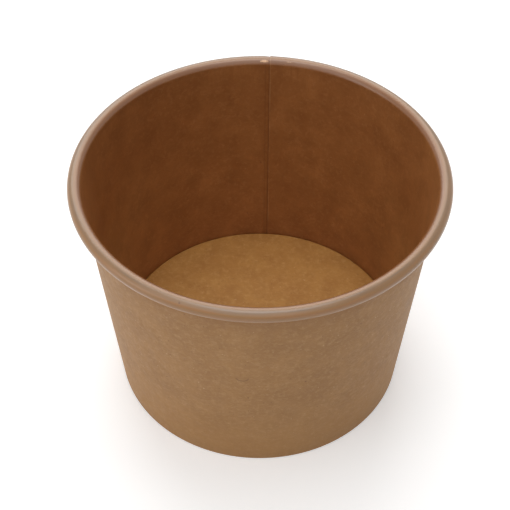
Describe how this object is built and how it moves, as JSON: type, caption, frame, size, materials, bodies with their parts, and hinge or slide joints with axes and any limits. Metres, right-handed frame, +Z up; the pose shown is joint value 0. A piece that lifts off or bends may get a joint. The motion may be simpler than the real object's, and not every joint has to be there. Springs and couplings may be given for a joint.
{
  "type": "paper ice cream tub",
  "caption": "Round tapered tub of brown kraft paper board with a rolled rim, a lapped side seam and a recessed disc base, open at the top.",
  "frame": {"origin": "middle of the bottom edge's ring, at table height", "axes": "+Z up through the mouth, +Y towards the side seam's inner edge, +X to the right of it seen from inside"},
  "size_m": [0.098, 0.098, 0.0695],
  "materials": {
    "kraft_board": "matte",
    "base_board": "matte"
  },
  "bodies": {
    "root": {"sidewall": "kraft_board", "base_disc": "base_board"}
  },
  "joints": []
}
